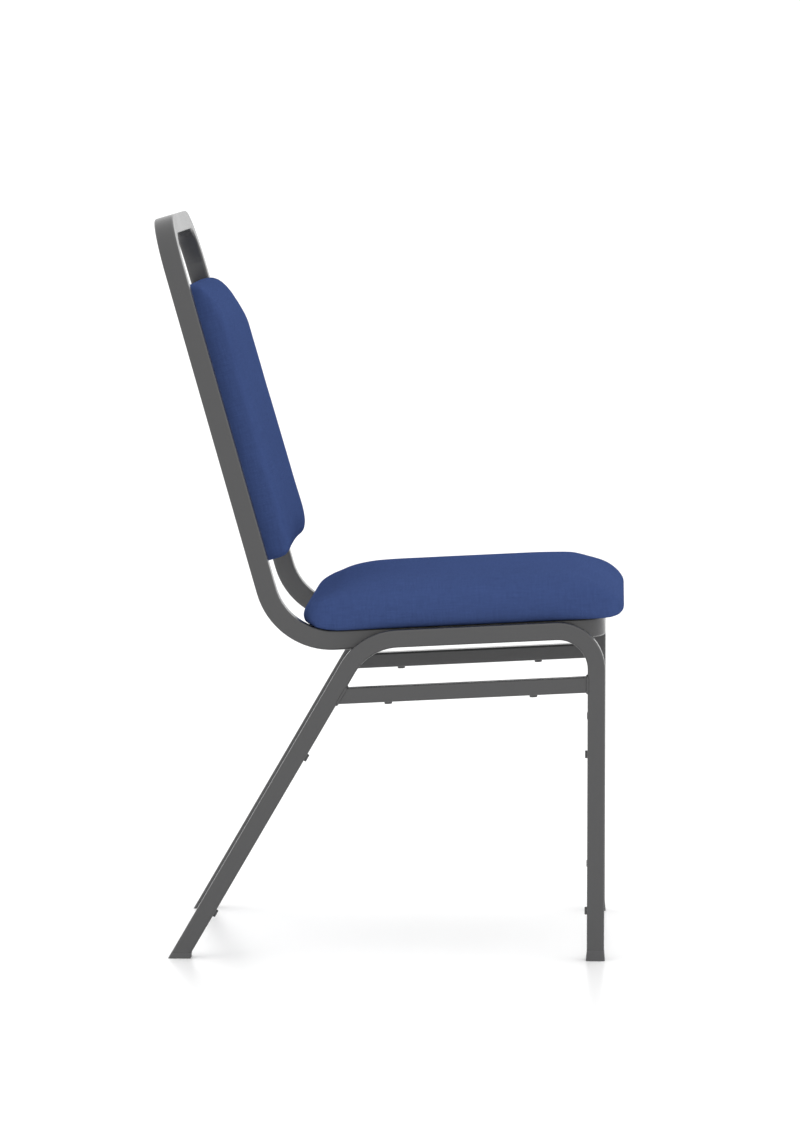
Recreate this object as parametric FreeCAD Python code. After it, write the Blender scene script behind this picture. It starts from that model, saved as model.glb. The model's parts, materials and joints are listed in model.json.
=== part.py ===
import FreeCAD, Part

import math
import os

from FreeCAD import Placement, Rotation, Vector

# Upholstered stacking chair: two welded leg frames carry one bent hoop that is
# both the seat frame and the back frame. Millimetres, +Z up, the chair faces
# -Y, and the origin is on the floor under the middle of the finished chair.
# While it is built, Y = 0 is the centre line of the front legs.

# ---------------------------------------------------------------- overall
OVERALL_WIDTH = 440.0        # across the outer faces of the leg frames
FOOT_SPACING = 531.0         # front foot centre to rear foot centre, at the floor
RAIL_HEIGHT = 422.4          # rail centre line above the front legs
SEAT_DEPTH = 400.0           # front leg centre line to the seat and back corner
BACK_LENGTH = 547.0          # that corner to the top bar, centre line, along the back
HOOP_NARROWING = 22.5        # each side, from the seat to the top bar
RAIL_RISE = 2.9              # degrees that the rails rise to the front
REAR_LEG_LEAN = 30.2         # degrees from upright
BACK_LEAN = 16.1             # degrees from upright

# ---------------------------------------------------------------- tubes
LEG_TUBE = 22.0
HOOP_TUBE = 25.0
STRETCHER_TUBE = 20.0
CROSS_TUBE = 20.0
TUBE_WALL = 1.2
TUBE_CORNER = 3.0            # outside corner radius of every tube
LEG_FRONT_BEND = 48.0        # bend radii are on the centre line
LEG_REAR_BEND = 77.0
SEAT_BACK_BEND = 86.0
HOOP_TAPER_BEND = 300.0      # the slight inward turn of the uprights
HOOP_TOP_BEND = 61.5
SEAT_FRONT_BEND = 34.0
TAPER_RUN = 14.0             # end of the seat and back bend to the inward turn
STRETCHER_DROP = 69.7        # rail centre line down to stretcher centre line
HOOP_JOINT = 52.0            # butt weld in the side rails, behind the front legs
CROSS_RAIL_SETBACK = 30.0    # cross rail centre, in front of the seat and back bend

# ---------------------------------------------------------------- glides
FRONT_GLIDE_HEIGHT = 13.3
REAR_GLIDE_HEIGHT = 7.0
GLIDE_FLARE = 1.1            # each side at the floor, past the tube
GLIDE_PLUG = 20.0            # how far the plug reaches into the tube
GLIDE_CLEARANCE = 0.2        # each side of the plug
GLIDE_CORNER = 3.5

# ---------------------------------------------------------------- stacking buttons
BUTTON_DIAMETER = 10.0
BUTTON_HEIGHT = 3.0
BUTTON_EDGE = 1.0            # rounded edge of the head
BUTTON_STEM = 5.0
BUTTON_STEM_LENGTH = 6.0
BUTTON_LOWER = 63.0          # lower buttons of the legs, above the floor
BUTTON_DROP = 89.7           # upper buttons, below the stretcher at the front leg
BUTTON_FRONT_INSET = 69.0    # under the stretcher, from the front leg
BUTTON_REAR_INSET = 58.5     # under the stretcher, from the rear leg
PRESS_CLEARANCE = 0.1        # stem, clip or tee nut in its hole, each side

# ---------------------------------------------------------------- seat pad
SEAT_PAD_INSET = 13.0        # each side, from the outer face of the leg frame
SEAT_PAD_THICKNESS = 56.0
SEAT_PAD_OVERHANG = 23.0     # front face past the front rail
SEAT_PAD_REAR = 39.0         # rear face past the start of the seat and back bend
SEAT_PAD_CORNER = 40.0       # in plan
SEAT_PAD_CROWN = 6.0         # rise of the middle over the sides
SEAT_PAD_NOSE = 27.0         # height of the upright front face
SEAT_PAD_TAIL = 29.0         # height of the upright rear face
SEAT_PAD_FRONT_FALL = 38.0   # length of the slope down to the nose
SEAT_PAD_REAR_FALL = 55.0    # length of the slope down to the tail
SEAT_PAD_LIFT = 4.0          # lower rear edge, above the rising bend
SEAT_PAD_BOTTOM_EDGE = 14.0  # edge radii, from the front underside round
SEAT_PAD_BEND_EDGE = 60.0
SEAT_PAD_TAIL_EDGE = 6.0
SEAT_PAD_REAR_EDGE = 150.0
SEAT_PAD_FRONT_EDGE = 88.0
SEAT_PAD_NOSE_EDGE = 18.0
SEAT_PAD_LOW_SIDE_EDGE = 10.0
SEAT_PAD_HIGH_SIDE_EDGE = 24.0
SEAT_BOARD = 12.0
SEAT_BOARD_INSET = 14.0
COVER = 1.0                  # fabric thickness
COVER_LAP = 4.0              # cover turned under the board, past the dust cover's edge
DUST_COVER = 0.8
DUST_COVER_GAP = 3.0         # to the rails

# ---------------------------------------------------------------- back pad
BACK_PAD_BOTTOM = 104.0      # above the seat and back corner, along the back
HAND_HOLD = 70.5             # top of the back pad to the top bar
BACK_PAD_THICKNESS = 57.6    # rear panel to front face
BACK_PAD_GAP = 1.0           # to the uprights
BACK_PAD_CORNER = 14.0
BACK_PAD_TOP_FALL = 40.0     # height of the slope from the front face to the top
BACK_PAD_TOP_DRAW = 22.8     # depth of the same slope
BACK_PAD_FRONT_EDGE = 134.0  # edge radii: front face to slope, slope to top,
BACK_PAD_TOP_EDGE = 16.0     # front face to bottom, and the rear edges
BACK_PAD_BOTTOM_EDGE = 18.0
BACK_PAD_REAR_EDGE = 3.0
BACK_PANEL = 5.0
BACK_BOARD = 10.0
BACK_BOARD_INSET = 6.0
BACK_COVER_RETURN = 25.0

# ---------------------------------------------------------------- fixings
TAB = 3.0                    # plate thickness
TAB_WIDTH = 30.0
TAB_REACH = 28.0
TAB_HOLE_INSET = 18.0        # hole centre from the tube face
FIXING_CLEARANCE = 0.3       # screw in its hole, each side
THREAD_CLEARANCE = 0.05      # screw in its tee nut, each side
SEAT_TAB_FRONT = 70.0        # front tabs, behind the front legs
SEAT_TAB_REAR = 100.0        # rear tabs, in front of the seat and back bend
SEAT_SCREW = 6.0
SEAT_SCREW_LENGTH = 16.0
SEAT_SCREW_HEAD = 11.0
SEAT_SCREW_HEAD_HEIGHT = 3.5
WASHER = 1.2
WASHER_DIAMETER = 14.0
BACK_TAB_INSET = 45.0        # from the bottom and the top of the back pad
BACK_SCREW = 5.0
BACK_SCREW_LENGTH = 12.0
TEE_NUT_FLANGE = 1.2
TEE_NUT_FLANGE_RATIO = 3.0   # flange diameter over screw diameter
TEE_NUT_WALL = 1.0
TEE_NUT_DEPTH = 8.0
CLIP = 6.0
CLIP_FLANGE = 12.0
CLIP_INSET = 85.0            # from the bottom, top and sides of the back pad
CLIP_SHORTFALL = 2.0         # clip tip short of the board's front face

# ---------------------------------------------------------------- derived
LEG_X = (OVERALL_WIDTH - LEG_TUBE) / 2.0
HOOP_X = OVERALL_WIDTH / 2.0 - LEG_TUBE - HOOP_TUBE / 2.0
HOOP_INSIDE = HOOP_X - HOOP_TUBE / 2.0
RISE = math.radians(RAIL_RISE)
LEG_LEAN = math.radians(REAR_LEG_LEAN)
SIDES = {"right": -1.0, "left": 1.0}

# Local frames. In the seat frame, y runs back along the rails and z = 0 is the
# plane of the rail tops. In the back frame, z runs up the back from the seat and
# back corner, and y = 0 is the centre of the tube, with the front at -y.
SEAT_FRAME = Placement(
    Vector(0, HOOP_TUBE / 2.0 * math.sin(RISE),
           RAIL_HEIGHT + HOOP_TUBE / 2.0 * math.cos(RISE)),
    Rotation(Vector(1, 0, 0), -RAIL_RISE))
BACK_FRAME = Placement(
    Vector(0, SEAT_DEPTH, RAIL_HEIGHT - SEAT_DEPTH * math.tan(RISE)),
    Rotation(Vector(1, 0, 0), -BACK_LEAN))
SEAT_BACK_TURN = 90.0 + RAIL_RISE - BACK_LEAN
SEAT_BEND_START = (SEAT_DEPTH / math.cos(RISE)
                   - SEAT_BACK_BEND * math.tan(math.radians(SEAT_BACK_TURN / 2.0)))
SEAT_FRONT_FACE = -LEG_TUBE / 2.0 / math.cos(RISE)
SEAT_PAD_FRONT = SEAT_FRONT_FACE - SEAT_PAD_OVERHANG
SEAT_PAD_WIDTH = OVERALL_WIDTH - 2.0 * SEAT_PAD_INSET
TAPER_START = SEAT_DEPTH / math.cos(RISE) - SEAT_BEND_START + TAPER_RUN
HOOP_TAPER = HOOP_NARROWING / (BACK_LENGTH - TAPER_START)
BACK_PAD_TOP = BACK_LENGTH - HOOP_TUBE / 2.0 - HAND_HOLD


def hoop_inside(height):
    """Half the clear width between the uprights, at a height up the back."""
    return HOOP_INSIDE - HOOP_TAPER * max(0.0, height - TAPER_START)


def rail_point(y, drop=0.0):
    """Height of the rail centre line, or of a line below it, at y."""
    return RAIL_HEIGHT - drop - y * math.tan(RISE)


def rear_leg_y(z):
    """Centre line of the rear legs at a height."""
    return FOOT_SPACING - z * math.tan(LEG_LEAN)


def meet_rear_leg(drop, shift=0.0):
    """Where the rail, or a line below it, meets the rear leg's centre or shifted line."""
    reach = FOOT_SPACING - shift - (RAIL_HEIGHT - drop) * math.tan(LEG_LEAN)
    return reach / (1.0 - math.tan(RISE) * math.tan(LEG_LEAN))


# ---------------------------------------------------------------- outlines
def rounded_outline(corners):
    """Closed wire through (point, radius) corners, each rounded to its radius."""
    count = len(corners)
    edges = []
    ends = []
    for i in range(count):
        point, radius = corners[i]
        to_last = (corners[i - 1][0] - point).normalize()
        to_next = (corners[(i + 1) % count][0] - point).normalize()
        half = to_last.getAngle(to_next) / 2.0
        setback = radius / math.tan(half)
        bisector = (to_last + to_next).normalize()
        middle = point + bisector * (radius / math.sin(half) - radius)
        ends.append((point + to_last * setback, middle, point + to_next * setback))
    for i in range(count):
        start, middle, end = ends[i]
        if corners[i][1] > 0.0:
            edges.append(Part.Arc(start, middle, end).toShape())
        following = ends[(i + 1) % count][0]
        if end.distanceToPoint(following) > 1e-6:
            edges.append(Part.LineSegment(end, following).toShape())
    return Part.Wire(edges)


def rectangle(length_x, length_y, radius, centre=Vector(0, 0, 0)):
    """Rounded rectangle in the XY plane."""
    half_x = length_x / 2.0
    half_y = length_y / 2.0
    signs = ((1, 1), (-1, 1), (-1, -1), (1, -1))
    return rounded_outline([
        (centre + Vector(sx * half_x, sy * half_y, 0), radius) for sx, sy in signs])


def prism(wire, direction, inset=0.0):
    """Solid from a flat outline, drawn in by an inset and extruded."""
    if inset > 0.0:
        wire = wire.makeOffset2D(-inset)
    return Part.Face(wire).extrude(direction)


def cylinder(diameter, height, centre, axis):
    """Cylinder whose base circle is centred on a point."""
    return Part.makeCylinder(diameter / 2.0, height, centre, axis)


# ---------------------------------------------------------------- tubes
def bent_tube(points, radii, side, size):
    """Square tube along straight runs joined by tangent bends, as one solid."""
    outer = Part.Face(rectangle(size, size, TUBE_CORNER))
    bore = size - 2.0 * TUBE_WALL
    inner = Part.Face(rectangle(bore, bore, TUBE_CORNER - TUBE_WALL))
    section = outer.cut(inner).Faces[0]
    heading = (points[1] - points[0]).normalize()
    section.Placement = Placement(
        points[0], Rotation(side, heading.cross(side), heading, "ZXY"))
    start = points[0]
    pieces = []
    for corner, following, radius in zip(points[1:], points[2:], radii):
        new_heading = (following - corner).normalize()
        turn = heading.getAngle(new_heading)
        setback = radius * math.tan(turn / 2.0)
        bend_start = corner - heading * setback
        pieces.append(section.extrude(bend_start - start))
        section.translate(bend_start - start)
        axis = heading.cross(new_heading).normalize()
        centre = bend_start + axis.cross(heading) * radius
        pieces.append(section.revolve(centre, axis, math.degrees(turn)))
        section.rotate(centre, axis, math.degrees(turn))
        start = corner + new_heading * setback
        heading = new_heading
    pieces.append(section.extrude(points[-1] - start))
    if len(pieces) == 1:
        return pieces[0]
    return pieces[0].multiFuse(pieces[1:]).removeSplitter().Solids[0]


def back_hoop():
    """Side rails, uprights and top bar, one bent tube."""
    rail_start = SEAT_FRAME.multVec(Vector(HOOP_X, HOOP_JOINT, -HOOP_TUBE / 2.0))
    corner = BACK_FRAME.multVec(Vector(HOOP_X, 0, 0))
    taper = BACK_FRAME.multVec(Vector(HOOP_X, 0, TAPER_START))
    top = BACK_FRAME.multVec(Vector(HOOP_X - HOOP_NARROWING, 0, BACK_LENGTH))
    half = [rail_start, corner, taper, top]
    mirrored = [Vector(-p.x, p.y, p.z) for p in reversed(half)]
    bends = [SEAT_BACK_BEND, HOOP_TAPER_BEND, HOOP_TOP_BEND]
    return bent_tube(half + mirrored, bends + bends[::-1], Vector(1, 0, 0), HOOP_TUBE)


def seat_front_rail():
    """U-shaped front of the seat frame, butt welded to the side rails."""
    front = SEAT_FRONT_FACE + HOOP_TUBE / 2.0
    local = [(HOOP_X, HOOP_JOINT), (HOOP_X, front), (-HOOP_X, front), (-HOOP_X, HOOP_JOINT)]
    points = [SEAT_FRAME.multVec(Vector(x, y, -HOOP_TUBE / 2.0)) for x, y in local]
    return bent_tube(points, [SEAT_FRONT_BEND] * 2, Vector(1, 0, 0), HOOP_TUBE)


def seat_cross_rail():
    """Straight tube between the side rails, under the rear of the seat board."""
    y = SEAT_BEND_START - CROSS_RAIL_SETBACK
    z = -DUST_COVER - CROSS_TUBE / 2.0
    ends = [SEAT_FRAME.multVec(Vector(x, y, z)) for x in (-HOOP_INSIDE, HOOP_INSIDE)]
    side = SEAT_FRAME.Rotation.multVec(Vector(0, 1, 0))
    return bent_tube(ends, [], side, CROSS_TUBE)


def button_places(side):
    """Where each stacking button of one side sits: name, face centre and outward axis."""
    x = SIDES[side] * LEG_X
    leg_normal = Vector(0, -math.cos(LEG_LEAN), -math.sin(LEG_LEAN))
    rail_normal = Vector(0, -math.sin(RISE), -math.cos(RISE))
    upper = RAIL_HEIGHT - STRETCHER_DROP - BUTTON_DROP
    stretcher_end = meet_rear_leg(STRETCHER_DROP, LEG_TUBE / 2.0 / math.cos(LEG_LEAN))
    along = {"front": LEG_TUBE / 2.0 + BUTTON_FRONT_INSET,
             "rear": stretcher_end - BUTTON_REAR_INSET}
    places = []
    for level, z in (("upper", upper), ("lower", BUTTON_LOWER)):
        front = Vector(x, LEG_TUBE / 2.0, z)
        places.append(("front_leg_" + level, front, Vector(0, 1, 0)))
        rear = Vector(x, rear_leg_y(z), z) + leg_normal * (LEG_TUBE / 2.0)
        places.append(("rear_leg_" + level, rear, leg_normal))
    for end, y in along.items():
        centre = Vector(x, y, rail_point(y, STRETCHER_DROP))
        under = centre + rail_normal * (STRETCHER_TUBE / 2.0)
        places.append(("stretcher_" + end, under, rail_normal))
    return places


def drill_buttons(tube, side, prefix):
    """Cut the button stem holes of the named tube."""
    for name, point, axis in button_places(side):
        if prefix in name:
            hole = BUTTON_STEM + 2.0 * PRESS_CLEARANCE
            depth = TUBE_WALL * 2.0
            start = point - axis * depth
            tube = tube.cut(cylinder(hole, 2.0 * depth, start, axis))
    return tube.Solids[0]


def leg_frame(side):
    """Front leg, top rail and rear leg of one side, one bent tube."""
    x = SIDES[side] * LEG_X
    rear_y = meet_rear_leg(0.0)
    points = [
        Vector(x, 0, FRONT_GLIDE_HEIGHT),
        Vector(x, 0, RAIL_HEIGHT),
        Vector(x, rear_y, rail_point(rear_y)),
        Vector(x, rear_leg_y(-LEG_TUBE), -LEG_TUBE)]
    tube = bent_tube(points, [LEG_FRONT_BEND, LEG_REAR_BEND], Vector(1, 0, 0), LEG_TUBE)
    ground = Part.makeBox(
        2.0 * LEG_TUBE, 4.0 * LEG_TUBE, 4.0 * LEG_TUBE + REAR_GLIDE_HEIGHT,
        Vector(x - LEG_TUBE, FOOT_SPACING - 2.0 * LEG_TUBE, -4.0 * LEG_TUBE))
    return drill_buttons(tube.cut(ground), side, "leg_")


def side_stretcher(side):
    """Straight tube between the legs, cut to fit their inner faces."""
    x = SIDES[side] * LEG_X
    ends = [Vector(x, y, rail_point(y, STRETCHER_DROP)) for y in (-LEG_TUBE, FOOT_SPACING)]
    tube = bent_tube(ends, [], Vector(1, 0, 0), STRETCHER_TUBE)
    front_face = LEG_TUBE / 2.0
    face_shift = LEG_TUBE / 2.0 / math.cos(LEG_LEAN)
    between = Part.makePolygon([
        Vector(x - LEG_TUBE, front_face, 0.0),
        Vector(x - LEG_TUBE, rear_leg_y(0.0) - face_shift, 0.0),
        Vector(x - LEG_TUBE, rear_leg_y(RAIL_HEIGHT) - face_shift, RAIL_HEIGHT),
        Vector(x - LEG_TUBE, front_face, RAIL_HEIGHT),
        Vector(x - LEG_TUBE, front_face, 0.0)])
    tube = tube.common(prism(between, Vector(2.0 * LEG_TUBE, 0, 0)))
    return drill_buttons(tube, side, "stretcher_")


# ---------------------------------------------------------------- glides and buttons
def glide_plug():
    """Outline of the plug that fits the leg tube's bore."""
    side = LEG_TUBE - 2.0 * (TUBE_WALL + GLIDE_CLEARANCE)
    return rectangle(side, side, TUBE_CORNER - TUBE_WALL)


def front_glide(side):
    """Moulded foot with a plug, under a front leg."""
    foot = LEG_TUBE + 2.0 * GLIDE_FLARE
    bottom = rectangle(foot, foot, GLIDE_CORNER)
    top = rectangle(LEG_TUBE, LEG_TUBE, TUBE_CORNER)
    top.translate(Vector(0, 0, FRONT_GLIDE_HEIGHT))
    shape = Part.makeLoft([bottom, top], True, True)
    plug = prism(glide_plug(), Vector(0, 0, FRONT_GLIDE_HEIGHT + GLIDE_PLUG))
    shape = shape.fuse(plug).removeSplitter()
    shape.translate(Vector(SIDES[side] * LEG_X, 0, 0))
    return shape.Solids[0]


def rear_glide(side):
    """Moulded foot with a slanted plug, under a rear leg."""
    half_cut = LEG_TUBE / 2.0 / math.cos(LEG_LEAN)
    top_y = rear_leg_y(REAR_GLIDE_HEIGHT)
    heel = FOOT_SPACING + half_cut
    toe = top_y - half_cut + GLIDE_FLARE / 2.0
    bottom = rectangle(LEG_TUBE + 2.0 * GLIDE_FLARE, heel - toe, GLIDE_CORNER,
                       Vector(0, (heel + toe) / 2.0, 0))
    top = rectangle(LEG_TUBE, 2.0 * half_cut, TUBE_CORNER,
                    Vector(0, top_y, REAR_GLIDE_HEIGHT))
    foot = Part.makeLoft([bottom, top], True, True)
    plug = prism(glide_plug(), Vector(0, 0, 2.0 * LEG_TUBE + GLIDE_PLUG))
    plug.translate(Vector(0, 0, -2.0 * LEG_TUBE))
    plug.Placement = Placement(
        Vector(0, top_y, REAR_GLIDE_HEIGHT),
        Rotation(Vector(1, 0, 0), REAR_LEG_LEAN)).multiply(plug.Placement)
    below = Part.makeBox(
        4.0 * LEG_TUBE, 6.0 * LEG_TUBE, 6.0 * LEG_TUBE,
        Vector(-2.0 * LEG_TUBE, top_y - 3.0 * LEG_TUBE, REAR_GLIDE_HEIGHT - 6.0 * LEG_TUBE))
    shape = foot.fuse(plug.cut(below)).removeSplitter()
    shape.translate(Vector(SIDES[side] * LEG_X, 0, 0))
    return shape.Solids[0]


def stack_button(point, axis):
    """Bump stop with a stem pressed into the tube."""
    head = cylinder(BUTTON_DIAMETER, BUTTON_HEIGHT, Vector(0, 0, 0), Vector(0, 0, 1))
    rim = [edge for edge in head.Edges if edge.BoundBox.ZMin > BUTTON_HEIGHT / 2.0]
    head = head.makeFillet(BUTTON_EDGE, rim)
    stem = cylinder(BUTTON_STEM, BUTTON_STEM_LENGTH, Vector(0, 0, -BUTTON_STEM_LENGTH),
                    Vector(0, 0, 1))
    shape = head.fuse(stem).removeSplitter()
    shape.Placement = Placement(point, Rotation(Vector(0, 0, 1), axis))
    return shape.Solids[0]


# ---------------------------------------------------------------- seat pad
def seat_side_outline():
    """Side view of the seat pad in the seat frame; it clears the rising bend behind."""
    front = SEAT_PAD_FRONT
    rear = SEAT_BEND_START + SEAT_PAD_REAR
    top = SEAT_PAD_THICKNESS
    bend_inside = SEAT_BACK_BEND - HOOP_TUBE / 2.0
    bend_rise = bend_inside - math.sqrt(bend_inside ** 2 - SEAT_PAD_REAR ** 2)
    corners = [
        (front, 0.0, SEAT_PAD_BOTTOM_EDGE),
        (SEAT_BEND_START, 0.0, SEAT_PAD_BEND_EDGE),
        (rear, bend_rise + SEAT_PAD_LIFT, SEAT_PAD_TAIL_EDGE),
        (rear, SEAT_PAD_TAIL, SEAT_PAD_TAIL_EDGE),
        (rear - SEAT_PAD_REAR_FALL, top, SEAT_PAD_REAR_EDGE),
        (front + SEAT_PAD_FRONT_FALL, top, SEAT_PAD_FRONT_EDGE),
        (front, SEAT_PAD_NOSE, SEAT_PAD_NOSE_EDGE)]
    return rounded_outline([(Vector(0, y, z), radius) for y, z, radius in corners])


def seat_front_outline():
    """Front view of the seat pad in the seat frame, with its crown."""
    half = SEAT_PAD_WIDTH / 2.0
    shoulder = SEAT_PAD_THICKNESS - SEAT_PAD_CROWN
    peak = SEAT_PAD_THICKNESS + SEAT_PAD_CROWN
    rounding = half - 2.0 * SEAT_PAD_HIGH_SIDE_EDGE
    crown_radius = rounding / math.tan(math.atan2(peak - shoulder, half))
    corners = [
        (-half, 0.0, SEAT_PAD_LOW_SIDE_EDGE),
        (half, 0.0, SEAT_PAD_LOW_SIDE_EDGE),
        (half, shoulder, SEAT_PAD_HIGH_SIDE_EDGE),
        (0.0, peak, crown_radius),
        (-half, shoulder, SEAT_PAD_HIGH_SIDE_EDGE)]
    return rounded_outline([(Vector(x, 0, z), radius) for x, z, radius in corners])


def seat_body(inset):
    """Seat pad drawn in on every side, in the seat frame."""
    front = SEAT_PAD_FRONT
    rear = SEAT_BEND_START + SEAT_PAD_REAR
    side = seat_side_outline()
    side.translate(Vector(-SEAT_PAD_WIDTH / 2.0, 0, 0))
    across = seat_front_outline()
    across.translate(Vector(0, front, 0))
    plan = rectangle(SEAT_PAD_WIDTH, rear - front, SEAT_PAD_CORNER,
                     Vector(0, (front + rear) / 2.0, 0))
    body = prism(side, Vector(SEAT_PAD_WIDTH, 0, 0), inset)
    body = body.common(prism(across, Vector(0, rear - front, 0), inset))
    body = body.common(prism(plan, Vector(0, 0, SEAT_PAD_THICKNESS), inset))
    return body.Solids[0]


def seat_board_outline(inset):
    """Plan of the seat board; it ends where the seat and back bend starts."""
    width = SEAT_PAD_WIDTH - 2.0 * inset
    length = SEAT_BEND_START - SEAT_PAD_FRONT - inset
    return rectangle(width, length, max(SEAT_PAD_CORNER - inset, 0.0),
                     Vector(0, SEAT_BEND_START - length / 2.0, 0))


def seat_screw_points():
    """Screw centres in the seat frame, at the level of the rail tops."""
    x = HOOP_INSIDE - TAB_HOLE_INSET
    rows = (SEAT_TAB_FRONT, SEAT_BEND_START - SEAT_TAB_REAR)
    return [Vector(sign * x, y, 0) for y in rows for sign in (-1, 1)]


def tee_nut(point, axis, screw):
    """Tee nut: its flange starts at the point and its barrel points against the axis."""
    barrel = screw + 2.0 * (THREAD_CLEARANCE + TEE_NUT_WALL)
    flange = cylinder(screw * TEE_NUT_FLANGE_RATIO, TEE_NUT_FLANGE, point, axis)
    body = cylinder(barrel, TEE_NUT_DEPTH, point - axis * TEE_NUT_DEPTH, axis)
    bore = cylinder(screw + 2.0 * THREAD_CLEARANCE, TEE_NUT_DEPTH + TEE_NUT_FLANGE,
                    point - axis * TEE_NUT_DEPTH, axis)
    return flange.fuse(body).cut(bore).removeSplitter()


def tee_nut_hole(screw):
    """Diameter of the board hole that a tee nut's barrel fits."""
    return screw + 2.0 * (THREAD_CLEARANCE + TEE_NUT_WALL + PRESS_CLEARANCE)


def seat_parts():
    """Board, foam, cover, dust cover and fixings of the seat, in the seat frame."""
    up = Vector(0, 0, 1)
    board_top = COVER + SEAT_BOARD
    window = SEAT_PAD_WIDTH / 2.0 - HOOP_INSIDE + DUST_COVER_GAP + COVER_LAP
    board = prism(seat_board_outline(SEAT_BOARD_INSET), up * SEAT_BOARD)
    board.translate(up * COVER)
    inner = seat_body(COVER)
    board = board.common(inner).Solids[0]    # its rear edge follows the rising cover
    opening = prism(seat_board_outline(window), up * 4.0 * COVER)
    opening.translate(up * -2.0 * COVER)
    cover = seat_body(0.0).cut(inner).cut(opening)
    foam = inner.cut(prism(seat_board_outline(SEAT_BOARD_INSET), up * board_top))
    dust_width = 2.0 * (HOOP_INSIDE - DUST_COVER_GAP)
    dust_front = SEAT_FRONT_FACE + HOOP_TUBE + DUST_COVER_GAP
    dust_length = SEAT_BEND_START - DUST_COVER_GAP - dust_front
    dust = prism(rectangle(dust_width, dust_length, SEAT_FRONT_BEND / 2.0,
                           Vector(0, dust_front + dust_length / 2.0, -DUST_COVER)),
                 up * DUST_COVER)
    tab_bottom = -DUST_COVER - TAB
    tabs = []
    washers = []
    screws = []
    nuts = []
    clear_hole = SEAT_SCREW + 2.0 * FIXING_CLEARANCE
    for point in seat_screw_points():
        sign = math.copysign(1.0, point.x)
        low = min(sign * HOOP_INSIDE, sign * (HOOP_INSIDE - TAB_REACH))
        tab = Part.makeBox(TAB_REACH, TAB_WIDTH, TAB,
                           Vector(low, point.y - TAB_WIDTH / 2.0, tab_bottom))
        under = point + up * tab_bottom
        tabs.append(tab.cut(cylinder(clear_hole, TAB, under, up)))
        washer = cylinder(WASHER_DIAMETER, WASHER, under - up * WASHER, up)
        washers.append(washer.cut(cylinder(clear_hole, WASHER, under - up * WASHER, up)))
        seat_of_head = under - up * WASHER
        head = cylinder(SEAT_SCREW_HEAD, SEAT_SCREW_HEAD_HEIGHT,
                        seat_of_head - up * SEAT_SCREW_HEAD_HEIGHT, up)
        shank = cylinder(SEAT_SCREW, SEAT_SCREW_LENGTH, seat_of_head, up)
        screws.append(head.fuse(shank).removeSplitter())
        nut = tee_nut(point + up * board_top, up, SEAT_SCREW)
        nuts.append(nut)
        board = board.cut(cylinder(tee_nut_hole(SEAT_SCREW), board_top, point, up))
        flange = SEAT_SCREW * TEE_NUT_FLANGE_RATIO + 2.0 * FIXING_CLEARANCE
        foam = foam.cut(cylinder(flange, board_top + TEE_NUT_FLANGE + FIXING_CLEARANCE,
                                 point, up))
        dust = dust.cut(cylinder(clear_hole, DUST_COVER, point - up * DUST_COVER, up))
    parts = {
        "seat_board": board,
        "seat_foam": foam,
        "seat_cover": cover,
        "seat_dust_cover": dust,
        "seat_fixing_tabs": Part.makeCompound(tabs),
        "seat_washers": Part.makeCompound(washers),
        "seat_screws": Part.makeCompound(screws),
        "seat_tee_nuts": Part.makeCompound(nuts)}
    for shape in parts.values():
        shape.Placement = SEAT_FRAME.multiply(shape.Placement)
    return parts


# ---------------------------------------------------------------- back pad
def back_y(depth):
    """Back frame y of a depth in front of the rear face of the uprights."""
    return HOOP_TUBE / 2.0 - depth


def back_outline(inset, depth):
    """Front view of the back pad, between the uprights, at a depth."""
    low = BACK_PAD_BOTTOM + inset
    high = BACK_PAD_TOP - inset
    draw = BACK_PAD_GAP + inset
    radius = max(BACK_PAD_CORNER - inset, 1.0)
    corners = [
        (-hoop_inside(low) + draw, low),
        (hoop_inside(low) - draw, low),
        (hoop_inside(high) - draw, high),
        (-hoop_inside(high) + draw, high)]
    return rounded_outline([(Vector(x, back_y(depth), z), radius) for x, z in corners])


def back_side_outline(rear):
    """Side view of the upholstered part of the back pad, from a depth to its front."""
    front = BACK_PAD_THICKNESS
    corners = [
        (rear, BACK_PAD_BOTTOM, BACK_PAD_REAR_EDGE),
        (front, BACK_PAD_BOTTOM, BACK_PAD_BOTTOM_EDGE),
        (front, BACK_PAD_TOP - BACK_PAD_TOP_FALL, BACK_PAD_FRONT_EDGE),
        (front - BACK_PAD_TOP_DRAW, BACK_PAD_TOP, BACK_PAD_TOP_EDGE),
        (rear, BACK_PAD_TOP, BACK_PAD_REAR_EDGE)]
    return rounded_outline([(Vector(0, back_y(u), v), r) for u, v, r in corners])


def back_body(inset):
    """Upholstered part of the back pad, drawn in on every side, in the back frame."""
    rear = BACK_PANEL + TAB
    half = hoop_inside(BACK_PAD_BOTTOM)
    side = back_side_outline(rear)
    side.translate(Vector(-half, 0, 0))
    body = prism(side, Vector(2.0 * half, 0, 0), inset)
    thickness = BACK_PAD_THICKNESS - rear
    return body.common(prism(back_outline(inset, rear), Vector(0, -thickness, 0))).Solids[0]


def countersunk_screw(point, axis):
    """Flat headed screw with its head filling a tab; the axis points to the tip."""
    head = Part.makeCone(BACK_SCREW, BACK_SCREW / 2.0, TAB, point, axis)
    shank = cylinder(BACK_SCREW, BACK_SCREW_LENGTH - TAB, point + axis * TAB, axis)
    return head.fuse(shank).removeSplitter()


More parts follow.
